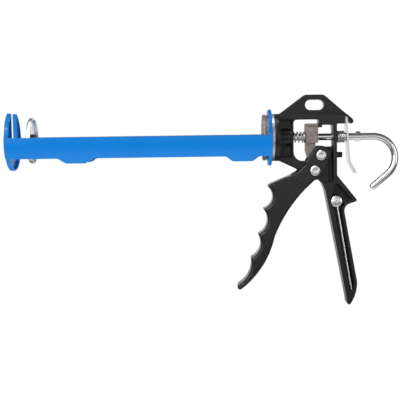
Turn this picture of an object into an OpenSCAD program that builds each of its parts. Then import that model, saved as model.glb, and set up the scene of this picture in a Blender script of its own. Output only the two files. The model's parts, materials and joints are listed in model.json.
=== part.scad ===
// Swivelling caulking gun for standard rigid cartridges, with a stepping rod drive.
// Millimetres, +Z up, the cradle points along -X. Everything is drawn from the datum where the
// rod's axis meets the cradle flange's front face, and placed() then puts the origin at the
// centre of the hanging hole.

/* [Cradle] */
// Free length between the flange and the front cap
cradle_l = 225; // [215:1:235]
// Inside radius of the two side arms, and outside radius of the front cap
cradle_r = 26.4; // [26:0.1:27]
// Thickness of the arms' sheet
arm_t = 1.2; // [1:0.1:1.6]
// Thickness of the front cap's sheet
cap_t = 1.6; // [1.2:0.1:2]
// Depth of the front cap over its rim
cap_depth = 4; // [3:0.5:6]
// Half the width of the front cap's nozzle slot
slot_r = 10.7; // [9:0.1:11.5]
// Height of the arms' upper edge over the axis
arm_top = 2.6; // [1:0.2:4]
// Depth of the arms' lower edge under the axis
arm_low = 15.4; // [13:0.2:17]
// Depth of the arms' wings under the axis
wing_low = 19.7; // [17.5:0.1:20]

/* [Swivel] */
// Radius of the rear flange that the cartridge sits against
flange_r = 24.6; // [24:0.1:25.5]
// Thickness of the rear flange
flange_t = 3; // [2:0.5:3]
// Radius of the body's spigot that the flange turns on
spigot_r = 12; // [10:0.5:13]
// Radius of the retaining ring inside the cartridge's tail
ring_r = 20.1; // [18:0.1:21.5]
// Length of the retaining ring
ring_l = 4.5; // [4:0.1:6]
// Radius of the washer and of the body's round front face
face_r = 20.7; // [19:0.1:22]

/* [Rod] */
// Radius of the push rod
rod_r = 3; // [2.9:0.05:3.1]
// Radius of the hook's bend, to the middle of the rod
hook_r = 19; // [15:0.1:20]
// Angle that the hook turns through
hook_turn = 140; // [120:1:160]
// Length of the hook's straight end
hook_tail = 18; // [8:0.5:22]
// Radius of the pusher disc
pusher_r = 20; // [18:0.5:22]

/* [Body] */
// Half the thickness of the body's neck, inside the trigger's fork
neck_y = 7; // [6:0.1:7]
// Half the width of the body's ribs and rear wall
rib_y = 8; // [7.5:0.1:8.2]
// Half the width of the handle's rims
rim_y = 8.5; // [8:0.1:8.5]
// Half the thickness of the web in the handle and behind the front face
web_y = 2.5; // [2:0.1:3.5]
// Half the thickness of the roof plate round the hanging hole
roof_y = 5; // [3.5:0.1:6]

/* [Trigger] */
// Half the gap between the fork's cheeks
fork_y = 7.3; // [7.3:0.1:7.6]
// Half the width over the cheeks
cheek_y = 11.3; // [10.5:0.1:12]
// Half the width of the finger grip
grip_y = 10; // [9.2:0.1:10.4]
// Radius of the two rivets' shanks
pin_r = 2.5; // [2:0.1:2.5]
// Radius of the rivets' heads
head_r = 4.4; // [4:0.1:5]
// Radius of the thrust roller between the cheeks
roller_r = 4; // [3.5:0.1:4]

/* [Springs] */
// Outside radius of the main spring
spring_r = 5; // [4.6:0.1:5.2]
// Wire diameter of the main spring
spring_wire = 1.1; // [0.9:0.1:1.2]
// Turns of the main spring
spring_turns = 5; // [4:1:6]
// Outside radius of the brake spring
brake_r = 5.3; // [5:0.1:5.6]
// Wire diameter of the brake spring
brake_wire = 1.2; // [1:0.1:1.3]

/* [Hidden] */

$fn = 96;
over = 0.5;             // how far a cutter runs past what it cuts
play = 0.1;             // gap between flat faces that turn or slide on each other
fit = 0.05;             // radial clearance of a running fit
free = 0.35;            // radial clearance where the rod only passes through

// Centre of the hanging hole, its half width and the distance between its two end centres
hang = [41, 28];
hang_r = 4.5;
hang_span = 7.6;

// Along the axis, from the flange backwards
washer_x = flange_t + play;
recess = 0.4;           // depth of the ring's recess in the flange
face_x = 5.5;           // front of the body's round face
face_t = 4.5;
boss_r = 7.75;          // boss that the rod runs through
window_x = 22.4;        // front edge of the window
window_top = 15.3;
window_low = -20.8;
rib_top = 19.7;         // top of the rib over the window
wall_x = 56.7;          // front of the rear wall
wall_t = 3.3;
stop_z = -15.8;         // height of the stop pin in the rear wall
stop_r = 2.5;
stop_end = 65.5;
block_x = 33.2;         // front of the drive block at rest
block_l = 10.3;
seat_x = 14;            // floor of the main spring's seat in the boss
seat_r = spring_r + 0.6;

// The trigger's two rivets
pivot = [40.4, -29.1];
thrust = [45.7, -15.8];
cheek_r = 8.3;          // radius of the cheeks round each rivet

// The brake lever: its strip leans back from the hook at its top
lever_top = [68.3, 16.2];
lever_lean = 4;
lever_t = 1.6;
lever_y = 7;
lever_drop = 36;
brake_l = 7.8;          // length of the brake spring at rest

// The puncturing wire's rivet and its tip
wire_at = [59, -56.1];
wire_tip = [72.1, -134.7];
wire_r = 0.8;
wire_y = -rim_y - free - wire_r;
wire_pin_r = 2;
eye_y = 0.7;            // half the thickness of the wire's flattened eye

// The rod's two ends
rod_front = -204.6;
hook_x = 92.7;
pusher_x = -207.6;      // rear face of the pusher disc
pusher_t = 1.5;
neck_r = 2.5;           // neck at the rod's front end

black = [0.13, 0.13, 0.14];
blue = [0.02, 0.44, 0.82];
zinc = [0.82, 0.82, 0.84];
sinter = [0.45, 0.40, 0.37];

module placed() translate([-hang.x, 0, -hang.y]) children();

// A flat outline in X and Z, as a slab of the given half thickness across the gun
module slab(half_y) rotate([90, 0, 0]) linear_extrude(2 * half_y, center = true) children();

// A round bar along X, and one across the gun at a point in X and Z
module along(x, l, r) translate([x, 0, 0]) rotate([0, 90, 0]) cylinder(h = l, r = r);
module across(at, r, y0, y1) translate([at.x, y1, at.y]) rotate([90, 0, 0]) cylinder(h = y1 - y0, r = r);

// Points along an arc about a centre, from one angle to another
function arc(c, r, a0, a1, n = 8) = [for (i = [0:n]) c + r * [cos(a0 + (a1 - a0) * i / n), sin(a0 + (a1 - a0) * i / n)]];

// Points along a shallow arc from p to q that bows to the left of the way from p to q by rise
function bow(p, q, rise, n = 8) =
    let (d = q - p, half = norm(d) / 2, r = (half * half + rise * rise) / (2 * abs(rise)),
         side = [-d.y, d.x] / norm(d) * sign(rise), c = (p + q) / 2 + side * (abs(rise) - r),
         swing = asin(half / r))
    [for (i = [1:n]) let (a = -swing + 2 * swing * i / n) c + r * (side * cos(a) + d / norm(d) * sin(a))];

// A wire wound about X as a closed mesh of rings, with its end turns closed up and laid flat
module coil(x, l, r, wire, turns) {
    steps = 14;
    sides = 7;
    mid_r = r - wire / 2;
    n = (turns + 2) * steps;
    run = l - 3 * wire;
    function along_wire(t) = t < 1 ? wire * t : t > turns + 1 ? run + wire + wire * (t - turns - 1)
                                                            : wire + run * (t - 1) / turns;
    points = [for (i = [0:n], j = [0:sides - 1])
        let (t = i / steps, turn = 360 * t, a = 360 * j / sides, out = mid_r + wire / 2 * cos(a))
        [x + wire / 2 + along_wire(t) + wire / 2 * sin(a) * 0.98, out * cos(turn), out * sin(turn)]];
    side_faces = [for (i = [0:n - 1], j = [0:sides - 1])
        let (k = (j + 1) % sides)
        [i * sides + j, i * sides + k, (i + 1) * sides + k, (i + 1) * sides + j]];
    ends = [[for (j = [sides - 1:-1:0]) j], [for (j = [0:sides - 1]) n * sides + j]];
    polyhedron(points, concat(side_faces, ends), convexity = 10);
}

// ---- body ----

// Whole outline of the casting: face, roof, beak, rear wall, horn and handle
module body_outline() polygon(concat(
    [[face_x + face_t, -face_r], [25, -27.8], [33, -33.8]],
    arc(pivot, cheek_r, -125, -70, 5),
    [[47, -40.2], [49.6, -46.7], [54, -68.7], [68.1, -141.8], [68.6, -145.8]],
    arc([70.3, -146.1], 1.7, 180, 315, 4),
    bow([71.5, -147.3], [77.4, -127.7], -1.6, 6),
    [[66.9, -69]],
    bow([66.6, -67], [71.6, -58.2], 2.3, 5),
    arc([75.6, -55.4], 1.5, -72, 39, 5),
    [[60, -33.5], [60, 11.4], [66.8, 11.4], [66.8, 17.5], [69.9, 17.5], [71, 12.4]],
    arc([72.9, 13.4], 2.1, -110, 48, 6),
    [[50.2, 35.8], [48.2, 36.9], [32.9, 36.9], [30.9, 35.8], [face_x + face_t, 20.4]]
));

// The window: the block, its springs and the thrust roller work in it
module window_outline() difference() {
    polygon(concat(
        arc([window_x + 3, window_top - 3], 3, 180, 90, 4),
        [[wall_x - 0.4, window_top], [wall_x - 0.4, -8.4], [50.5, -8.4], [50.5, window_low]],
        arc([window_x + 8, window_low + 8], 8, 270, 180, 6)
    ));
    // the tooth that the block's top rests against, and the roof behind it
    polygon([[44.6, 16], [43.8, 10.6], [43.8, 8.2], [47, 8.2], [47, 10.5], [wall_x, 10.5], [wall_x, 16]]);
}

module casting_outline() difference() {
    body_outline();
    window_outline();
}

module hang_outline() {
    for (s = [-1, 1]) translate(hang + [s * hang_span / 2, 0]) circle(r = hang_r);
    translate(hang) square([hang_span, 2 * hang_r], center = true);
}

// The recess on each side of the handle
module pocket_outline() polygon([
    [57.6, -42], [60.3, -40.6], [73.6, -55.4], [68.6, -56.6], [64, -61.4], [63.7, -67], [74.3, -129.4],
    [73.6, -135], [71.4, -135.4], [58.6, -68], [55.3, -56]
]);

// The part of the casting's outline inside a rectangle, as a slab
module plate(half_y, x0, x1, z0, z1) slab(half_y) intersection() {
    casting_outline();
    translate([x0, z0]) square([x1 - x0, z1 - z0]);
}

module body_frame() color(black) placed() difference() {
    union() {
        // web all over
        slab(web_y) casting_outline();
        // roof plate, the rib under it with its tooth, and the beak over the lever
        plate(roof_y, 0, 80, rib_top - 0.7, 40);
        plate(rib_y, 0, 80, window_top, rib_top);
        plate(rib_y, 43.5, 66.8, 8, window_top + over);
        plate(roof_y, 60, 80, 11, 20);
        // neck under the window, with its front post and its ledge
        plate(neck_y, 20.6, 52.9, -46, window_top + over);
        plate(neck_y, face_x, 30, -30, -17.5);
        // rear wall
        slab(rib_y) translate([wall_x, -36]) square([wall_t, 53.5]);
        // handle rims, and the horn's
        for (x = [[40, -150, -39.5], [wall_x, -41, -33]]) slab(rim_y) difference() {
            intersection() {
                body_outline();
                translate([x[0], x[1]]) square([80 - x[0], x[2] - x[1]]);
            }
            pocket_outline();
        }
        across(wire_at, 5.2, -rim_y, 0);
        // round face, spigot and boss
        along(face_x, face_t, face_r);
        along(-ring_l, face_x + ring_l, spigot_r);
        along(face_x, window_x - face_x, boss_r);
        // gussets between the face and the boss
        for (s = [-1, 1]) scale([1, 1, s]) slab(1.4 * web_y)
            polygon([[face_x + face_t - over, 4], [face_x + face_t - over, 17.5], [11.4, 17.5], [14.4, 6]]);
    }
    along(-ring_l - over, 80, rod_r + free);
    along(seat_x, window_x - seat_x + over, seat_r);
    slab(rib_y + over) hang_outline();
    across(pivot, pin_r, -rib_y - over, rib_y + over);
    across(wire_at, wire_pin_r, -rim_y - over, web_y + over);
    stop_bar(wall_x - over);
}

// The stop pin from its front end, and with that end further forward its seat in the rear wall
module stop_bar(x) translate([0, 0, stop_z]) along(x, stop_end - x, stop_r);

module lever_stop() color(black) placed() stop_bar(wall_x);

// ---- swivel ----

module swivel_washer() color(zinc) placed() difference() {
    along(washer_x, face_x - washer_x, face_r);
    along(washer_x - over, face_x, spigot_r);
}

// The ring's collar sits in a shallow recess in the flange
module retaining_ring() color(sinter) placed() difference() {
    union() {
        along(-ring_l, ring_l - 1.8, ring_r);
        along(-ring_l + 1, ring_l + recess - play - 1, ring_r - 0.8);
    }
    along(-ring_l - over, ring_l + 2, spigot_r);
}

// ---- cradle ----

// The part of a round section between the arms' upper and lower edges, on both sides
module arm_band(x, l, low) translate([x, -40, -low]) cube([l, 80, low + arm_top]);

module cradle_flange() color(blue) placed() difference() {
    union() {
        along(0, flange_t, flange_r);
        intersection() {
            along(0, flange_t, cradle_r);
            arm_band(0, flange_t, arm_low);
        }
    }
    along(-over, flange_t + 1, spigot_r + fit);
    along(-over, over + recess, ring_r + free);
}

// One arm: a strip of a tube with two wings, on the side given by s
module arm(s) intersection() {
    difference() {
        along(-cradle_l - cap_t, cradle_l + cap_t + flange_t, cradle_r + arm_t);
        along(-cradle_l - cap_t - over, cradle_l + 10, cradle_r);
    }
    translate([0, s * 20, 0]) slab(20) polygon(concat(
        [[-cradle_l - cap_t, arm_top], [-cradle_l - cap_t, -arm_low], [-182, -arm_low]],
        bow([-182, -arm_low], [-174.5, -wing_low], 0.7, 4),
        [[-158.5, -wing_low]],
        bow([-158.5, -wing_low], [-151, -arm_low], 0.7, 4),
        [[-37.5, -arm_low]],
        bow([-37.5, -arm_low], [-30.6, -wing_low], 0.7, 4),
        [[-14.5, -wing_low]],
        bow([-14.5, -wing_low], [-7.6, -arm_low], 0.7, 4),
        [[flange_t, -arm_low], [flange_t, arm_top]]
    ));
}

module cradle_arm_near() color(blue) placed() arm(-1);

module cradle_arm_far() color(blue) placed() arm(1);

// Outline of the cap's face, seen along the axis, grown by w: a disc with a flat top and a U slot
module cap_outline(w) difference() {
    intersection() {
        circle(r = cradle_r + w);
        translate([0, -8]) square([60, 64.6 + 2 * w], center = true);
    }
    circle(r = slot_r - w);
    translate([w - slot_r, 0]) square([2 * (slot_r - w), 40]);
}

module cap_slab(x, l) translate([x, 0, 0]) rotate([90, 0, 90]) linear_extrude(l) children();

module front_cap() color(blue) placed() difference() {
    cap_slab(-cradle_l - cap_t, cap_depth) cap_outline(0);
    cap_slab(-cradle_l, cap_depth) cap_outline(-cap_t);
}

// ---- trigger ----

// Ridges between the finger grooves, from the top lip to the tip
ridges = [[-0.1, -43.1], [-4.8, -62.2], [-9.4, -84.7], [-15.8, -105.4], [-26.2, -128.6]];
groove_depths = [6.4, 6.2, 5.3, 4];

// Outline of the trigger without its head
module trigger_outline() {
    polygon(concat(
        [thrust + [-7.6, 3.3], [31.2, -24.7]],
        bow([31.2, -24.7], [14.4, -35.1], 1.4, 5),
        [[1.6, -40.5], [-0.1, -41.6]],
        [ridges[0]],
        [for (i = [0:3]) each bow(ridges[i], ridges[i + 1], groove_depths[i], 10)],
        arc([-25.6, -131.2], 2.4, 160, 280, 5),
        bow([-24.9, -133.5], [5.2, -86.7], -5, 10),
        bow([5.2, -86.7], [32.9, -44.5], 2.5, 8),
        [[41.3, -36.4], pivot]
    ));
    translate(pivot) circle(r = cheek_r);
    translate(thrust) circle(r = cheek_r);
    polygon([pivot + [-7.6, 3.3], pivot + [7.7, -3], thrust + [7.7, -3], thrust + [-7.6, 3.3]]);
}

// The hollow behind the grip's front wall, open towards the handle
module trigger_hollow() polygon([
    [70, 10], [21, 10], [21, -36], [9, -43], [8.6, -52], [4.4, -70], [-2.8, -93], [-7.6, -108], [-4, -112.5],
    [70, -112.5]
]);

module trigger() color(black) placed() difference() {
    union() {
        slab(grip_y) trigger_outline();
        slab(cheek_y) intersection() {
            trigger_outline();
            polygon([[12, 10], [12, -29.6], [19.2, -35.6], [32.8, -45], [70, -45], [70, 10]]);
        }
    }
    slab(fork_y) trigger_hollow();
    across(pivot, pin_r + fit, -20, 20);
    across(thrust, pin_r, -20, 20);
}

// A rivet across the trigger: a shank with a flat domed head on each side
module trigger_rivet(at) {
    across(at, pin_r, -cheek_y - 1, cheek_y + 1);
    for (s = [0, 1]) mirror([0, s, 0]) {
        across(at, head_r, cheek_y + play, cheek_y + 1.2);
        across(at, head_r - 0.7, cheek_y + play, cheek_y + 1.8);
    }
}

module trigger_pivot() color(zinc) placed() trigger_rivet(pivot);

module thrust_pin() color(zinc) placed() trigger_rivet(thrust);

module thrust_roller() color(zinc) placed() difference() {
    across(thrust, roller_r, -fork_y + 0.3, fork_y - 0.3);
    across(thrust, pin_r + fit, -20, 20);
}

// ---- drive ----

module drive_block() color(sinter) placed() difference() {
    union() {
        slab(8.5) polygon([
            [block_x, -5.4], [block_x, 11], [block_x + 0.8, 11.8], [block_x + block_l - 0.8, 11.8],
            [block_x + block_l, 11], [block_x + block_l, -4.4], [block_x + block_l - 1, -5.4]
        ]);
        slab(6.5) polygon([
            [block_x, 0], [block_x, -12], [block_x + 1.5, -17], [block_x + 2.5, -18], [40.4, -18], [41.4, -17],
            [41.4, 0]
        ]);
    }
    along(block_x - over, block_l + 2, rod_r + free);
    // groove under the top edge
    for (s = [-1, 1]) translate([block_x - over, s * 8.5 - 0.5, 9]) cube([block_l + 1, 1, 0.8]);
}

module main_spring() color(zinc) placed()
    coil(seat_x + play, block_x - seat_x - 2 * play, spring_r, spring_wire, spring_turns);

module brake_spring() color(zinc) placed()
    coil(wall_x + wall_t + play, brake_l, brake_r, brake_wire, 3);

// The brake lever hangs from the beak: a strip with a clearance hole and a bent thumb tab
module release_lever() color(zinc) placed() difference() {
    translate([lever_top.x, 0, lever_top.y]) rotate([0, -lever_lean, 0]) slab(lever_y) {
        circle(r = lever_t / 2);
        translate([-lever_t / 2, -lever_drop]) square([lever_t, lever_drop]);
        polygon([
            [-lever_t / 2, -lever_drop], [-0.1, -lever_drop - 3.6], [4.2, -lever_drop - 12.6],
            [5.6, -lever_drop - 11.9], [1.4, -lever_drop - 3], [lever_t / 2, -lever_drop]
        ]);
    }
    along(60, 15, rod_r + 0.75);
}

// ---- rod and pusher ----

// Puts the bend's centre under the end of the straight stretch, with angles running down the hook
module at_bend() translate([hook_x, 0, -hook_r]) rotate([90, 0, 0]) mirror([1, -1, 0]) children();

module push_rod() color(zinc) placed() {
    along(rod_front, hook_x - rod_front, rod_r);
    at_bend() rotate_extrude(angle = hook_turn) translate([hook_r, 0]) circle(r = rod_r);
    // the straight tail, a hair thinner where it leaves the bend, with a stepped end
    at_bend() rotate([0, 0, hook_turn]) translate([hook_r, -over, 0]) rotate([-90, 0, 0]) {
        cylinder(h = hook_tail, r = rod_r - 0.02);
        cylinder(h = hook_tail + 0.6, r = rod_r - 0.6);
    }
    // pinched ears that stop the rod at the lever
    translate([77, -0.9, -4.4]) cube([4.4, 1.8, 8.8]);
    // neck that the pusher disc turns on
    along(pusher_x - pusher_t - 2 * play, rod_front - pusher_x + pusher_t + 2 * play, neck_r);
}

module pusher_nut() color(zinc) placed() difference() {
    translate([pusher_x + play, 0, 0]) rotate([0, 90, 0]) cylinder(h = 3.6, r = 5.77, $fn = 6);
    along(pusher_x - over, rod_front - pusher_x + over, neck_r);
    along(rod_front, 5, rod_r);
}

module pusher_screw() color(zinc) placed() {
    head_x = pusher_x - pusher_t - 2 * play;
    difference() {
        union() {
            along(head_x - 1.2, 1.2, 5);
            along(head_x - 2.2, 2, 3.8);
        }
        for (a = [0, 90]) rotate([a, 0, 0]) translate([head_x - 3.2, -0.6, -2.6]) cube([1.8, 1.2, 5.2]);
    }
}

module pusher_disc() color(zinc) placed() difference() {
    union() {
        along(pusher_x - pusher_t, pusher_t, pusher_r);
        along(pusher_x - pusher_t, pusher_t + 2.2, pusher_r);
    }
    along(pusher_x, 5, pusher_r - pusher_t);
    along(pusher_x - 5, 10, neck_r + fit);
}

// ---- puncturing wire ----

module puncture_wire() color(zinc) placed() difference() {
    reach = wire_tip - wire_at;
    tilt = atan2(reach.x, -reach.y);
    union() {
        across(wire_at, 3.9, wire_y - eye_y, wire_y + eye_y);
        translate([wire_at.x, wire_y, wire_at.y]) rotate([0, -tilt, 0]) mirror([0, 0, 1]) {
            translate([0, 0, 3]) cylinder(h = norm(reach) - 7, r = wire_r);
            translate([0, 0, norm(reach) - 4]) cylinder(h = 4, r1 = wire_r, r2 = 0.2);
        }
    }
    across(wire_at, wire_pin_r + fit, -20, 0);
}

module wire_rivet() color(zinc) placed() {
    across(wire_at, wire_pin_r, wire_y, web_y + 1);
    across(wire_at, 4.8, wire_y - wire_r - play - 0.8, wire_y - wire_r - play);
    across(wire_at, 4, wire_y - wire_r - play - 1.4, wire_y - wire_r - play);
    across(wire_at, wire_pin_r, wire_y - wire_r - play, wire_y);
    across(wire_at, 3.2, web_y, web_y + 1.2);
}

body_frame();
swivel_washer();
retaining_ring();
trigger_pivot();
lever_stop();
wire_rivet();
cradle_flange();
cradle_arm_near();
cradle_arm_far();
front_cap();
trigger();
thrust_pin();
thrust_roller();
drive_block();
main_spring();
push_rod();
pusher_nut();
pusher_screw();
pusher_disc();
release_lever();
brake_spring();
puncture_wire();
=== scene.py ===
import bmesh
import bpy
import json
import math
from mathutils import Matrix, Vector
from mathutils.bvhtree import BVHTree


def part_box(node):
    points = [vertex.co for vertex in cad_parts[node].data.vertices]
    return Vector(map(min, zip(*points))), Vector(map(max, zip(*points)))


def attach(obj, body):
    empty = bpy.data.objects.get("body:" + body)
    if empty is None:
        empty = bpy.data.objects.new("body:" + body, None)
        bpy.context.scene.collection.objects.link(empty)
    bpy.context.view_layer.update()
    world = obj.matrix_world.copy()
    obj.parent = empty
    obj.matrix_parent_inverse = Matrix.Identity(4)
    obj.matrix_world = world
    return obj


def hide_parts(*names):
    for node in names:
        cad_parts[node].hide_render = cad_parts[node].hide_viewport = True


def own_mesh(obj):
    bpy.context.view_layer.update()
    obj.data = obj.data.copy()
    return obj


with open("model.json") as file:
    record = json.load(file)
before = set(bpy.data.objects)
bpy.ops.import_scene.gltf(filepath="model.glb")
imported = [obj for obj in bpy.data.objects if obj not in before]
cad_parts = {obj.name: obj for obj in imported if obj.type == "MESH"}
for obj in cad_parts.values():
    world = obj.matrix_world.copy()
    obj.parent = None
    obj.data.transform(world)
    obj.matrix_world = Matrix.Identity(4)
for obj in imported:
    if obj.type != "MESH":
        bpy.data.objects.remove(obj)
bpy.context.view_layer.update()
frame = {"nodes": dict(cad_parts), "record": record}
mm = 0.001

# everything below is drawn in millimetres from the rod's axis at the cradle flange's front face
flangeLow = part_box("cradle_flange")[0]
ringLow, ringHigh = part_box("retaining_ring")
datum = Vector((flangeLow.x, 0, (ringLow.z + ringHigh.z) / 2))


def span(node):  # a node's lowest and highest corners in those millimetres
    low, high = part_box(node)
    return (low - datum) / mm, (high - datum) / mm


def middle(node):
    low, high = span(node)
    return (low + high) / 2


bodyOf = {node: body for body, nodes in frame["record"]["behaviour"]["bodies"].items() for node in nodes}


# finishes

class Socket:  # a shader output that takes part in sums
    def __init__(self, finish, out):
        self.finish = finish
        self.out = out

    def sum(self, operation, a, b):
        return self.finish.node("ShaderNodeMath", {"operation": operation}, {0: a, 1: b})

    def __add__(self, other):
        return self.sum("ADD", self, other)

    def __radd__(self, other):
        return self.sum("ADD", other, self)

    def __sub__(self, other):
        return self.sum("SUBTRACT", self, other)

    def __rsub__(self, other):
        return self.sum("SUBTRACT", other, self)

    def __mul__(self, other):
        return self.sum("MULTIPLY", self, other)

    def __rmul__(self, other):
        return self.sum("MULTIPLY", other, self)


class Finish:  # one material and its nodes
    def __init__(self, name):
        self.material = bpy.data.materials.new(name)
        self.material.use_nodes = True
        self.tree = self.material.node_tree
        self.tree.nodes.clear()
        self.place = self.node("ShaderNodeTexCoord", out="Object")

    def node(self, kind, settings=None, sockets=None, out=0):
        made = self.tree.nodes.new(kind)
        for key, value in (settings or {}).items():
            if key == "stops":
                while len(made.color_ramp.elements) < len(value):
                    made.color_ramp.elements.new(0.5)
                for element, (position, shade) in zip(made.color_ramp.elements, value):
                    element.position = position
                    element.color = (shade, shade, shade, 1)
            else:
                setattr(made, key, value)
        for key, value in (sockets or {}).items():
            if isinstance(value, Socket):
                self.tree.links.new(value.out, made.inputs[key])
            else:
                made.inputs[key].default_value = value
        return Socket(self, made.outputs[out])

    def stretched(self, scale):  # object coordinates with a grain direction
        return self.node("ShaderNodeMapping", {}, {"Vector": self.place, "Scale": scale})

    def noise(self, scale, detail=3, at=None):
        where = at or self.place
        return self.node("ShaderNodeTexNoise", {}, {"Vector": where, "Scale": scale, "Detail": detail})

    def ramp(self, value, stops):
        return self.node("ShaderNodeValToRGB", {"stops": stops}, {"Fac": value})

    def mix(self, factor, a, b):  # two colours
        return self.node("ShaderNodeMix", {"data_type": "RGBA"}, {0: factor, 6: a, 7: b}, out=2)

    def edges(self, low, high):  # 1 along sharp outer edges, 0 elsewhere: worn edges on the black coat, a painted highlight on the blue enamel
        point = self.node("ShaderNodeNewGeometry", out="Pointiness")
        return self.ramp(point, [(low, 0), (high, 1)])

    def bump(self, height, strength, depth):  # depth in millimetres
        sockets = {"Height": height, "Strength": strength, "Distance": depth * mm}
        return self.node("ShaderNodeBump", {}, sockets, out="Normal")

    def close(self, **sockets):  # the shader itself: underscores stand for spaces in a socket's name
        named = {key.replace("_", " "): value for key, value in sockets.items()}
        return self.shown(self.node("ShaderNodeBsdfPrincipled", {}, named))

    def shown(self, shader):
        end = self.tree.nodes.new("ShaderNodeOutputMaterial")
        self.tree.links.new(shader.out, end.inputs["Surface"])
        return self.material


def colour(r, g, b):
    return (r, g, b, 1)


def powderBlack(name, look):  # satin powder coat over a die casting
    f = Finish(name)
    blotch = f.noise(70, 2)
    peel = f.noise(520, 2)
    grain = f.noise(2600, 2)
    worn = f.edges(0.53, 0.62) * f.ramp(f.noise(240, 4), [(0.45, 0), (0.62, 1)])
    base = f.mix(blotch, colour(*look["dark"]), colour(*look["light"]))
    return f.close(
        Base_Color=f.mix(worn * look["wear"], base, colour(0.16, 0.16, 0.165)),
        Roughness=look["roughness"] + (peel - 0.5) * 0.16 + grain * 0.06,
        Normal=f.bump(peel * 0.7 + grain * 0.3, look["bump"], 0.05),
        Specular_IOR_Level=look["gloss"])


def blueEnamel():
    f = Finish("cradle_blue")
    peel = f.noise(330, 2)
    drift = f.noise(28, 2)
    speck = f.ramp(f.noise(1900, 1), [(0.70, 0), (0.76, 1)])
    base = f.mix(drift, colour(0.0006, 0.148, 0.490), colour(0.0010, 0.168, 0.540))
    # the rounded edges painted a lighter, brighter blue: a painted highlight along them
    paintedEdgeHighlight = f.mix(f.edges(0.54, 0.66) * 0.35, base, colour(0.01, 0.22, 0.66))
    return f.close(
        Base_Color=f.mix(speck * 0.12, paintedEdgeHighlight, colour(0.01, 0.08, 0.30)),
        Roughness=0.27 + peel * 0.10,
        Normal=f.bump(peel, 0.12, 0.05),
        Specular_IOR_Level=0.10,
        Coat_Weight=0.14 + drift * 0.10,
        Coat_Roughness=0.12)


def brightMetal(name, look):  # plated steel, with its drawing or tumbling marks
    f = Finish(name)
    marks = f.noise(1, 3, at=f.stretched(look["grain"]))
    cloud = f.noise(160, 3)
    spots = f.ramp(f.noise(900, 2), [(0.60, 0), (0.72, 1)])
    base = f.mix(cloud, colour(*look["dark"]), colour(*look["light"]))
    return f.close(
        Base_Color=f.mix(spots * look["spots"], base, colour(0.34, 0.32, 0.30)),
        Metallic=1.0,
        Roughness=look["roughness"] + marks * look["spread"] + spots * 0.08,
        Normal=f.bump(marks * 0.7 + cloud * 0.3, look["bump"], 0.03))


def sinteredSteel():
    f = Finish("sintered_steel")
    pore = f.ramp(f.noise(1500, 4), [(0.36, 0), (0.5, 1)])
    cloud = f.noise(220, 4)
    stain = f.ramp(f.noise(90, 3), [(0.42, 0), (0.62, 1)])
    base = f.mix(cloud, colour(0.22, 0.19, 0.175), colour(0.47, 0.43, 0.41))
    brown = f.mix(stain * 0.5, base, colour(0.24, 0.16, 0.115))
    return f.close(
        Base_Color=f.mix(pore, colour(0.10, 0.085, 0.075), brown),
        Metallic=0.75,
        Roughness=0.60 - pore * 0.14,
        Normal=f.bump(pore * 0.6 + cloud * 0.4, 0.5, 0.08))


finishes = {
    "body_black": powderBlack("body_black", {
        "dark": (0.0070, 0.0062, 0.0072), "light": (0.0115, 0.0104, 0.0118), "roughness": 0.30, "bump": 0.22,
        "wear": 0.30, "gloss": 0.36}),
    "trigger_black": powderBlack("trigger_black", {
        "dark": (0.0068, 0.0060, 0.0070), "light": (0.0110, 0.0099, 0.0113), "roughness": 0.27, "bump": 0.18,
        "wear": 0.28, "gloss": 0.40}),
    "cradle_blue": blueEnamel(),
    "rod_chrome": brightMetal("rod_chrome", {
        "dark": (0.78, 0.78, 0.79), "light": (0.90, 0.90, 0.91), "grain": (30, 1400, 1400), "roughness": 0.12,
        "spread": 0.12, "spots": 0.05, "bump": 0.03}),
    "lever_steel": brightMetal("lever_steel", {
        "dark": (0.76, 0.76, 0.77), "light": (0.90, 0.90, 0.91), "grain": (900, 120, 900), "roughness": 0.24,
        "spread": 0.14, "spots": 0.05, "bump": 0.04}),
    "bright_zinc": brightMetal("bright_zinc", {
        "dark": (0.80, 0.80, 0.81), "light": (0.93, 0.93, 0.94), "grain": (700, 700, 700), "roughness": 0.27,
        "spread": 0.14, "spots": 0.05, "bump": 0.06}),
    "pale_zinc": brightMetal("pale_zinc", {
        "dark": (0.68, 0.67, 0.70), "light": (0.84, 0.83, 0.86), "grain": (500, 900, 900), "roughness": 0.36,
        "spread": 0.18, "spots": 0.10, "bump": 0.2}),
    "dark_zinc": brightMetal("dark_zinc", {
        "dark": (0.055, 0.055, 0.058), "light": (0.13, 0.13, 0.135), "grain": (800, 800, 800),
        "roughness": 0.38, "spread": 0.2, "spots": 0.15, "bump": 0.25}),
    "spring_steel": brightMetal("spring_steel", {
        "dark": (0.62, 0.62, 0.64), "light": (0.80, 0.80, 0.82), "grain": (600, 600, 600), "roughness": 0.22,
        "spread": 0.18, "spots": 0.10, "bump": 0.2}),
    "sintered_steel": sinteredSteel(),
}
print("finishes made:", len(finishes))


# mesh tools

def eased(points, radius, steps=3, closed=True):
    # an outline with its corners rounded off; radius is one number, or one for each corner
    out = []
    count = len(points)
    for i, corner in enumerate(points):
        r = radius[i] if isinstance(radius, (list, tuple)) else radius
        corner = Vector(corner)
        if r == 0 or (not closed and i in (0, count - 1)):
            out.append(corner)
            continue
        before = Vector(points[i - 1]) - corner
        after = Vector(points[(i + 1) % count]) - corner
        cut = min(r, before.length * 0.49, after.length * 0.49)
        a = corner + before.normalized() * cut
        b = corner + after.normalized() * cut
        for k in range(steps + 1):
            t = k / steps
            out.append(a * (1 - t) ** 2 + corner * 2 * t * (1 - t) + b * t ** 2)
    return out


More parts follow.
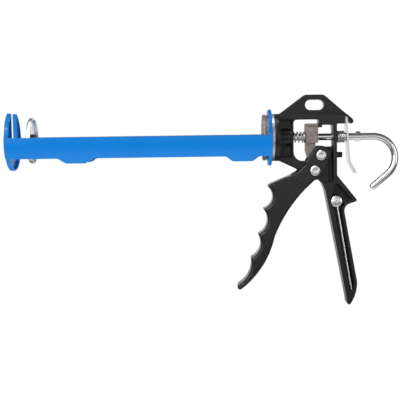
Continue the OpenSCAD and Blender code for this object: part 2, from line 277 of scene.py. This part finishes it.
def solid(name, rings, looped=False, capped=True):
    # a skin over rings of points in millimetres, closed at both ends or joined last to first
    bm = bmesh.new()
    rows = [[bm.verts.new(datum + Vector(p) * mm) for p in ring] for ring in rings]
    pairs = list(zip(rows, rows[1:]))
    if looped:
        pairs.append((rows[-1], rows[0]))
    for row, following in pairs:
        for k in range(len(row)):
            n = (k + 1) % len(row)
            bm.faces.new((row[k], row[n], following[n], following[k]))
    if capped and not looped:
        bm.faces.new(rows[0][::-1])
        bm.faces.new(rows[-1])
    bmesh.ops.recalc_face_normals(bm, faces=bm.faces)
    return finished(name, bm)


def finished(name, bm):
    mesh = bpy.data.meshes.new(name)
    for face in bm.faces:
        face.smooth = True
    bm.to_mesh(mesh)
    bm.free()
    piece = bpy.data.objects.new(name, mesh)
    bpy.context.scene.collection.objects.link(piece)
    return piece


def evenShade(piece):  # flats stay flat beside their rounded edges
    shade = piece.modifiers.new("even shade", "WEIGHTED_NORMAL")
    shade.weight = 80
    return piece


def turned(name, profile, axis, at, sides=96, swell=None, looped=True):
    # a profile of (along, radius) points turned about the X or the Y axis through a point
    rings = []
    for along, r in profile:
        ring = []
        for k in range(sides):
            turn = 2 * math.pi * k / sides
            reach = r if swell is None else swell(r, turn)
            c = reach * math.cos(turn)
            s = reach * math.sin(turn)
            point = (along, c, s) if axis == "X" else (c, along, s)
            ring.append(tuple(a + b for a, b in zip(at, point)))
        rings.append(ring)
    return evenShade(solid(name, rings, looped=looped))


def swept(name, path, radii, sides=20, start=None, bulge=None):
    # a round bar along a path; radii holds one radius for each point
    rings = []
    side = start
    for i, p in enumerate(path):
        ahead = (path[min(i + 1, len(path) - 1)] - path[max(i - 1, 0)]).normalized()
        side = ahead.orthogonal() if side is None else side - ahead * side.dot(ahead)
        side.normalize()
        up = ahead.cross(side)
        ring = []
        for k in range(sides):
            turn = 2 * math.pi * k / sides
            r = radii[i] + (bulge(i, turn) if bulge else 0)
            ring.append(p + (side * math.cos(turn) + up * math.sin(turn)) * r)
        rings.append(ring)
    return solid(name, rings)


def cadCopy(node):  # the node's own mesh, welded
    bm = bmesh.new()
    bm.from_mesh(frame["nodes"][node].data)
    bmesh.ops.remove_doubles(bm, verts=bm.verts, dist=0.001 * mm)
    return bm


def broken(name, node, width, segments=3):
    # the node's shape with its sharp edges broken
    bm = cadCopy(node)
    bmesh.ops.dissolve_limit(bm, angle_limit=math.radians(2), verts=bm.verts, edges=bm.edges)
    piece = finished(name, bm)
    bevel = piece.modifiers.new("broken edges", "BEVEL")
    bevel.width = width * mm
    bevel.segments = segments
    bevel.limit_method = "ANGLE"
    bevel.angle_limit = math.radians(32)
    return evenShade(piece)


def remade(piece, voxel, rounds):  # one closed skin over the piece, smoothed a little
    skin = piece.modifiers.new("skin", "REMESH")
    skin.mode = "VOXEL"
    skin.voxel_size = voxel * mm
    skin.use_smooth_shade = True
    soft = piece.modifiers.new("soft", "SMOOTH")
    soft.factor = 0.5
    soft.iterations = rounds
    graph = bpy.context.evaluated_depsgraph_get()
    made = bpy.data.meshes.new_from_object(piece.evaluated_get(graph))
    piece.modifiers.clear()
    piece.data = made


def cast(name, node, look):
    # the node's shape with every edge rounded, and its outline rolled over where look asks for it
    piece = finished(name, cadCopy(node))
    remade(piece, look["voxel"], look["rounds"])
    if "roll" in look:
        rollOver(piece.data, node, look["roll"])
        remade(piece, look["voxel"], look["rounds"] * 2)
    print(name, "faces:", len(piece.data.polygons))
    return piece


def rollOver(mesh, node, roll):
    # brings the outer faces down towards the walls round the outline, as a quarter round
    cad = frame["nodes"][node].data
    corners = [v.co for v in cad.vertices]
    slack = 0.3
    walls, radii = [], []
    for face in cad.polygons:
        centre = (face.center - datum) / mm
        sides = [corners[i].y / mm for i in face.vertices]
        low, high = min(sides), max(sides)
        least = 0 if low * high < 0 else min(abs(low), abs(high))
        upright = abs(face.normal.y) < 0.3
        bored = any(math.hypot(centre.x - x, centre.z - z) < roll["bore"] for x, z in roll["bores"])
        inside = max(-low, high) < roll["inside"]
        if upright and not bored and not inside and least < roll["step"]:
            walls.append(tuple(face.vertices))
            radii.append(roll["thin"] if least > roll["hollow"] - slack else roll["radius"])
    tree = BVHTree.FromPolygons(corners, walls)
    for v in mesh.vertices:
        p = (v.co - datum) / mm
        half = roll["cheek"] if roll["isCheek"](p.x, p.z) else roll["grip"]
        if abs(p.y) < half - roll["radius"]:
            continue
        probe = Vector((v.co.x, math.copysign(half - slack, p.y) * mm, v.co.z))
        near, normal, index, far = tree.find_nearest(probe)
        radius = radii[index]
        d = math.hypot(near.x - probe.x, near.z - probe.z) / mm
        if d < radius:
            most = half - radius + math.sqrt(radius ** 2 - (radius - d) ** 2)
            v.co.y = math.copysign(min(abs(p.y), most), p.y) * mm


def stand(piece, slot, *nodes):  # the piece stands for these nodes and moves with them
    piece.data.materials.clear()
    piece.data.materials.append(finishes[slot])
    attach(piece, bodyOf[nodes[0]])
    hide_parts(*nodes)
    return piece


# castings

stand(cast("bodyCasting", "body_frame", {"voxel": 0.5, "rounds": 5}), "body_black", "body_frame")


def inCheek(x, z):  # above the bent line where the cheeks step down to the grip
    if x < 19.2:
        return z > -29.6 - (x - 12) * 0.833
    return z > -35.6 - (x - 19.2) * 0.691


pins = [middle("trigger_pivot"), middle("thrust_pin")]
trigger = {
    "voxel": 0.5, "rounds": 4,
    "roll": {
        "radius": 2.5, "thin": 1.5,                     # of the full walls, and of those beside the hollow
        "cheek": 11.3, "grip": 10, "isCheek": inCheek,  # half widths
        "hollow": 7.3,                                  # half width of the hollow
        "inside": 7.5,                                  # faces no further out than this are the hollow's own
        "step": 9.9,                                    # faces wholly beyond this belong to the cheeks' step
        "bore": 2.9, "bores": [(pin.x, pin.z) for pin in pins],
    },
}
stand(cast("triggerCasting", "trigger", trigger), "trigger_black", "trigger")
print("castings made")


# the cradle's two arms

armLow, armHigh = span("cradle_arm_near")
capHigh = span("front_cap")[1]
arm = {
    "inside": capHigh.y,            # radius to the sheet's inner face
    "sheet": 1.2,
    "top": armHigh.z,
    "low": -15.4,                   # lower edge between the wings
    "wings": ((-182, -174.5, -158.5, -151), (-37.5, -30.6, -14.5, -7.6)),
    "edge": 0.42,                   # rounding of the sheet's edges
}


def armEdge(x):  # height of the lower edge
    drop = 0
    for start, flat, flatEnd, end in arm["wings"]:
        if start < x < end:
            t = min((x - start) / (flat - start), (end - x) / (end - flatEnd), 1)
            drop = max(drop, 0.5 * t + 0.5 * (t * t * (3 - 2 * t)))
    return arm["low"] + (armLow.z - arm["low"]) * drop


def armSection(x, low, inset, side):
    # the sheet cut across at x, rounded at both edges and drawn in by inset at the ends
    bend = arm["inside"] + arm["sheet"] / 2
    top = math.asin(arm["top"] / bend) * bend - inset
    bottom = math.asin(low / bend) * bend + inset
    half = arm["sheet"] / 2 - inset
    count = 9
    outer = [(bottom + (top - bottom) * k / count, half) for k in range(count + 1)]
    loop = outer + [(u, -half) for u, v in outer[::-1]]
    radii = [0] * len(loop)
    for k in (0, count, count + 1, len(loop) - 1):
        radii[k] = max(arm["edge"] - inset, 0.02)
    ring = []
    for u, v in eased(loop, radii, 3):
        angle = u / bend
        ring.append((x, side * (bend + v) * math.cos(angle), (bend + v) * math.sin(angle)))
    return ring


def makeArm(name, side):
    first, last = armLow.x, armHigh.x
    stations = {first + arm["edge"], last - arm["edge"]}
    for wing in arm["wings"]:
        for a, b in ((wing[0], wing[1]), (wing[2], wing[3])):
            stations |= {a + (b - a) * k / 12 for k in range(13)}
    x = first + 8
    while x < last - 4:
        stations.add(x)
        x += 8
    ends = []
    for k in range(4):  # how far in from the end, and how far drawn in there
        turn = math.pi / 2 * k / 4
        ends.append((arm["edge"] * (1 - math.cos(turn)), arm["edge"] * (1 - math.sin(turn)) * 0.9))
    rings = [armSection(first + back, armEdge(first), inset, side) for back, inset in ends]
    rings += [armSection(x, armEdge(x), 0, side) for x in sorted(stations)]
    rings += [armSection(last - back, armEdge(last), inset, side) for back, inset in ends[::-1]]
    return evenShade(solid(name, rings))


stand(makeArm("armNear", -1), "cradle_blue", "cradle_arm_near")
stand(makeArm("armFar", 1), "cradle_blue", "cradle_arm_far")
stand(broken("frontCap", "front_cap", 0.55, 4), "cradle_blue", "front_cap")


# the cradle's rear flange: a disc with an ear for each arm

spigotBore = 12.05  # of everything that is threaded on the body's spigot
flange = {"radius": 24.6, "ear": capHigh.y, "thick": 3.0, "recess": 0.4, "recessRadius": 20.45, "ramp": 0.8}


def makeFlange():
    edge, step, depth = flange["radius"], flange["recessRadius"], flange["recess"]

    def swell(r, turn):
        z = flange["ear"] * math.sin(turn)
        overLow = min(max((z - arm["low"]) / flange["ramp"], 0), 1)
        underTop = min(max((arm["top"] - z) / flange["ramp"], 0), 1)
        return r + (flange["ear"] - edge) * overLow * underTop if r > step + 1 else r

    corners = [(depth, spigotBore), (depth, step), (0, step), (0, edge), (flange["thick"], edge),
               (flange["thick"], spigotBore)]
    profile = eased(corners, [0.1, 0.1, 0.2, 0.5, 0.5, 0.2], 3)
    return turned("rearFlange", profile, "X", (0, 0, 0), 180, swell)


stand(makeFlange(), "cradle_blue", "cradle_flange")
print("cradle made")


# turned parts on the swivel

def ringOf(name, node, bore, ease, axis="X"):  # a plain ring, as wide and as long as its node
    low, high = span(node)
    r = (high.z - low.z) / 2
    half = (high.x - low.x) / 2 if axis == "X" else (high.y - low.y) / 2
    profile = eased([(-half, bore), (-half, r), (half, r), (half, bore)], ease, 3)
    return turned(name, profile, axis, middle(node))


def makeRetainingRing():  # its collar reaches into the flange's recess
    low, high = span("retaining_ring")
    front, back, edge = low.x, high.x, high.z
    step, collar = -1.8, edge - 0.8
    corners = [(front, spigotBore), (front, edge), (step, edge), (step, collar), (back, collar),
               (back, spigotBore)]
    profile = eased(corners, [0.5, 0.7, 0.4, 0.1, 0.2, 0.2], 3)
    return turned("retainingRing", profile, "X", (0, 0, 0))


stand(ringOf("swivelWasher", "swivel_washer", spigotBore, 0.35), "pale_zinc", "swivel_washer")
stand(makeRetainingRing(), "sintered_steel", "retaining_ring")


# rivets through the trigger's cheeks, and the roller on the upper one

rivet = {"height": 1.7, "shank": 2.5, "dimple": 1.5, "round": 0.12}


def makeRivet(name, node):
    low, high = span(node)
    head = (high.x - low.x) / 2
    cheek = high.y - rivet["height"]
    dome = [(cheek, rivet["shank"]), (cheek, head - 0.2), (cheek + 0.3, head), (cheek + 1.0, head - 0.05),
            (cheek + 1.42, head - 0.45), (cheek + 1.62, head - 1.2), (cheek + 1.7, head - 2.0),
            (cheek + 1.45, rivet["dimple"]), (cheek + 1.36, 0.4)]
    profile = eased([(-y, r) for y, r in dome[::-1]] + dome, rivet["round"], 2, closed=False)
    return turned(name, profile, "Y", middle(node), 64, looped=False)


stand(makeRivet("lowerRivet", "trigger_pivot"), "bright_zinc", "trigger_pivot")
stand(makeRivet("upperRivet", "thrust_pin"), "bright_zinc", "thrust_pin")
stand(ringOf("thrustRoller", "thrust_roller", rivet["shank"] + 0.05, 0.3, "Y"), "bright_zinc", "thrust_roller")


# coil springs

def makeSpring(name, node, look):
    # a coil with its first and last turns closed up
    low, high = span(node)
    wire, turns = look["wire"], look["turns"]
    r = look["radius"] - wire / 2
    run = high.x - low.x - wire
    lead = wire * 0.98  # advance of a closed turn
    steps = 30
    path = []
    for k in range((turns + 2) * steps + 1):
        t = k / steps
        if t < 1:
            x = lead * t
        elif t > turns + 1:
            x = run - lead * (turns + 2 - t)
        else:
            x = lead + (run - 2 * lead) * (t - 1) / turns
        turn = 2 * math.pi * t
        path.append(Vector((low.x + wire / 2 + x, r * math.cos(turn), r * math.sin(turn))))
    radii = [wire / 2 * 0.96] * len(path)
    radii[0] = radii[-1] = wire * 0.3  # ground ends
    return swept(name, path, radii, 12)


def fitSpring(name, node, look):  # in place, with a mesh of its own
    spring = stand(makeSpring(name, node, look), "spring_steel", node)
    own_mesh(spring)


fitSpring("mainSpring", "main_spring", {
    "wire": 1.1, "turns": 5, "radius": 5.0, "joint": "block_step", "keep": 0.6})
fitSpring("brakeSpring", "brake_spring", {
    "wire": 1.2, "turns": 3, "radius": 5.3, "joint": "lever_press", "keep": 0.62})
print("springs and rivets made")


# the push rod

rod = {
    "radius": 3.0, "neck": 2.5, "shoulder": -204.6,
    "bendStart": 92.7, "bend": 19, "turn": math.radians(140), "tail": 18.6,
    "ears": (77.0, 81.4), "earReach": 1.4, "earHalf": 0.95,
}


def rodPoint(s):  # a point at a distance along the rod, from the datum
    if s <= rod["bendStart"]:
        return Vector((s, 0, 0))
    turn = min((s - rod["bendStart"]) / rod["bend"], rod["turn"])
    centre = Vector((rod["bendStart"], 0, -rod["bend"]))
    out = Vector((math.sin(turn), 0, math.cos(turn)))
    rest = s - rod["bendStart"] - turn * rod["bend"]
    return centre + out * rod["bend"] + Vector((math.cos(turn), 0, -math.sin(turn))) * rest


def makeRod():
    r, neck, shoulder = rod["radius"], rod["neck"], rod["shoulder"]
    first = span("push_rod")[0].x
    bent = rod["bend"] * rod["turn"]
    total = rod["bendStart"] + bent + rod["tail"]
    stations = [(first, neck - 0.3), (first + 0.3, neck), (shoulder - 0.02, neck), (shoulder, r - 0.25),
                (shoulder + 0.25, r), (shoulder + 1.2, r)]
    stations += [(x, r) for x in range(-195, 75, 9)]
    earA, earB = rod["ears"]
    stations += [(earA - 2 + (earB - earA + 4) * k / 24, r) for k in range(25)]
    stations.append((rod["bendStart"], r))
    stations += [(rod["bendStart"] + bent * k / 48, r) for k in range(1, 49)]
    stations += [(total - 9, r), (total - 2.2, r), (total - 1.9, r - 0.04), (total - 0.75, r - 0.62),
                 (total - 0.3, r - 0.75), (total - 0.06, r - 1.0), (total, r - 1.5)]

    def ear(i, turn):  # how far the pinched ears stand out of the rod
        s = stations[i][0]
        ramp = min(max((s - earA + 0.25) / 0.5, 0), 1) * min(max((earB + 0.25 - s) / 0.5, 0), 1)
        ramp *= 1 - 0.16 * abs((s - (earA + earB) / 2) / ((earB - earA) / 2)) ** 3
        across = abs(math.sin(turn)) * (r + rod["earReach"])
        return rod["earReach"] * ramp / (1 + (across / rod["earHalf"]) ** 6)

    path = [rodPoint(s) for s, q in stations]
    return swept("pushRod", path, [q for s, q in stations], 64, Vector((0, 0, 1)), ear)


stand(makeRod(), "rod_chrome", "push_rod")


# pusher disc with its turned-back rim, and what holds it on

def makeDisc():
    low, high = span("pusher_disc")
    front, back, edge = low.x, high.x, high.z
    sheet, bore = 1.5, 2.55
    corners = [(front, bore), (front, edge), (back, edge), (back, edge - sheet),
               (front + sheet, edge - sheet), (front + sheet, bore)]
    profile = eased(corners, [0.15, 1.3, 0.4, 0.4, 0.7, 0.15], 4)
    return turned("pusherDisc", profile, "X", (0, 0, 0))


stand(makeDisc(), "bright_zinc", "pusher_disc")
stand(broken("pusherNut", "pusher_nut", 0.35), "dark_zinc", "pusher_nut")
stand(broken("pusherScrew", "pusher_screw", 0.25), "bright_zinc", "pusher_screw")


# the block that steps the rod forward, the lever that lets it go, and the pin under it

def makeStopPin():
    low, high = span("lever_stop")
    r = (high.z - low.z) / 2
    corners = [(low.x, 0.05), (low.x, r), (high.x, r), (high.x, 0.05)]
    profile = eased(corners, [0, 0.2, 0.8, 0], 4, closed=False)
    return turned("stopPin", profile, "X", (0, 0, (low.z + high.z) / 2), 48, looped=False)


stand(broken("driveBlock", "drive_block", 0.4), "sintered_steel", "drive_block")
stand(broken("releaseLever", "release_lever", 0.32), "lever_steel", "release_lever")
stand(makeStopPin(), "body_black", "lever_stop")


# puncturing wire: an eye round its rivet, a straight shank and a ground tip

wire = {"radius": 0.752, "eye": 3.9, "pin": 2.05, "point": 4, "pointRadii": [0.752, 0.496, 0.16]}


def makeWire():
    low, high = span("puncture_wire")
    centre = Vector((low.x + wire["eye"], (low.y + high.y) / 2, high.z - wire["eye"]))
    tip = Vector((high.x, centre.y, low.z))
    way = (tip - centre).normalized()
    tip -= Vector((0.2, 0, 0))
    turnTo = math.atan2(way.z, way.x)
    eye = (wire["eye"] + wire["pin"]) / 2
    path = []
    for k in range(41):  # once round the rivet, then into the shank
        a = turnTo + math.radians(354 - 340 * k / 40)
        path.append(centre + Vector((math.cos(a), 0, math.sin(a))) * eye)
    start = centre + way * (eye + 3.2)
    length = (tip - start).length
    path += [start + (tip - start) * k / 12 for k in range(12)]
    radii = [0.4] + [wire["radius"]] * (len(path) - 1)
    path += [start + way * (length - back) for back in (wire["point"], wire["point"] / 2, 0.2)]
    radii += wire["pointRadii"]
    return swept("punctureWire", path, radii, 16, Vector((0, 1, 0)))


def makeWireRivet():
    low, high = span("wire_rivet")
    near, far = low.y, high.y
    head, shank = 4.8, 2.0
    corners = [(near + 0.12, 0.4), (near, 1.1), (near + 0.2, 2.2), (near + 0.5, 3.3), (near + 0.8, 4.2),
               (near + 1.0, head - 0.1), (near + 1.2, head), (near + 1.4, head - 0.25), (near + 1.4, shank),
               (far - 1.2, shank), (far - 1.2, 3.0), (far - 0.9, 3.2), (far - 0.3, 3.0), (far, 2.2), (far, 0.4)]
    at = ((low.x + high.x) / 2, 0, (low.z + high.z) / 2)
    return turned("wireRivet", eased(corners, 0.1, 2, closed=False), "Y", at, 56, looped=False)


stand(makeWire(), "bright_zinc", "puncture_wire")
stand(makeWireRivet(), "bright_zinc", "wire_rivet")
print("rod, lever and wire made")


# floor, backdrop, lights and camera

def glow(name, shade, strength):
    f = Finish(name)
    return f.shown(f.node("ShaderNodeEmission", {}, {"Color": colour(*shade), "Strength": strength}))


def paper(name, shade):
    f = Finish(name)
    fibre = f.mix(f.noise(40, 3), colour(shade, shade, shade), colour(shade * 0.985, shade * 0.985, shade))
    return f.close(Base_Color=fibre, Roughness=0.9, Emission_Color=colour(1, 1, 1), Emission_Strength=0.9)


stage = {"floor": -1.1, "reach": 3.2}  # in metres


def makeStage():
    bm = bmesh.new()
    bmesh.ops.create_circle(bm, cap_ends=True, segments=64, radius=stage["reach"])
    bmesh.ops.translate(bm, verts=bm.verts, vec=(0, 0, stage["floor"]))
    floor = finished("floor", bm)
    floor.data.materials.append(paper("floor_paper", 0.93))
    floor.visible_glossy = False
    bm = bmesh.new()
    bmesh.ops.create_uvsphere(bm, u_segments=48, v_segments=24, radius=stage["reach"])
    dome = finished("backdrop", bm)
    dome.data.materials.append(glow("backdrop_white", (1, 1, 1), 1.0))
    dome.visible_diffuse = False
    dome.visible_glossy = False
    dome.visible_shadow = False
    dome.visible_transmission = False


makeStage()

world = bpy.data.worlds.new("studio")
world.use_nodes = True
world.node_tree.nodes["Background"].inputs["Color"].default_value = (0.92, 0.95, 1.0, 1)
world.node_tree.nodes["Background"].inputs["Strength"].default_value = 0.12
bpy.context.scene.world = world
bpy.context.scene.view_settings.view_transform = "Standard"


def softbox(name, at, aim, size, power):  # metres and watts
    data = bpy.data.lights.new(name, "AREA")
    data.shape = "RECTANGLE"
    data.size, data.size_y = size
    data.energy = power
    light = bpy.data.objects.new(name, data)
    light.location = at
    light.rotation_euler = (Vector(aim) - Vector(at)).to_track_quat("-Z", "Y").to_euler()
    light.visible_camera = False
    bpy.context.scene.collection.objects.link(light)


centre = Vector((-0.10, 0, -0.07))
softbox("overhead", (-0.2, -0.1, 1.1), centre, (0.5, 0.35), 5)
softbox("key", (-0.7, -0.8, 0.8), centre, (0.35, 0.35), 9)
softbox("front", (0.2, -1.3, 0.12), centre, (1.3, 0.8), 2.4)
softbox("frontWhite", (-0.75, -1.3, 0.15), centre, (0.5, 0.8), 2.4)
softbox("under", (-0.1, -0.2, -1.0), centre, (2.2, 1.4), 7)
softbox("frontLeft", (-1.2, -0.9, 0.15), centre, (0.4, 0.8), 4)
softbox("frontRight", (1.2, -0.8, 0.1), centre, (0.4, 0.8), 3.5)
softbox("rear", (0.0, 1.3, 0.0), centre, (1.4, 1.0), 4)

view = {"lens": 80.1, "at": (-50, -785, 3.7), "left": 0.735, "down": 4.22, "roll": -0.79}  # angles in degrees
camera = bpy.data.objects.new("camera", bpy.data.cameras.new("camera"))
camera.data.lens = view["lens"]
camera.data.sensor_width = 36
camera.data.clip_start = 0.01
camera.location = datum + Vector(view["at"]) * mm
camera.rotation_euler = (math.radians(90 - view["down"]), 0, math.radians(view["left"]))
camera.rotation_euler.rotate_axis("Z", math.radians(view["roll"]))
bpy.context.scene.collection.objects.link(camera)
bpy.context.scene.camera = camera

print("scene made")
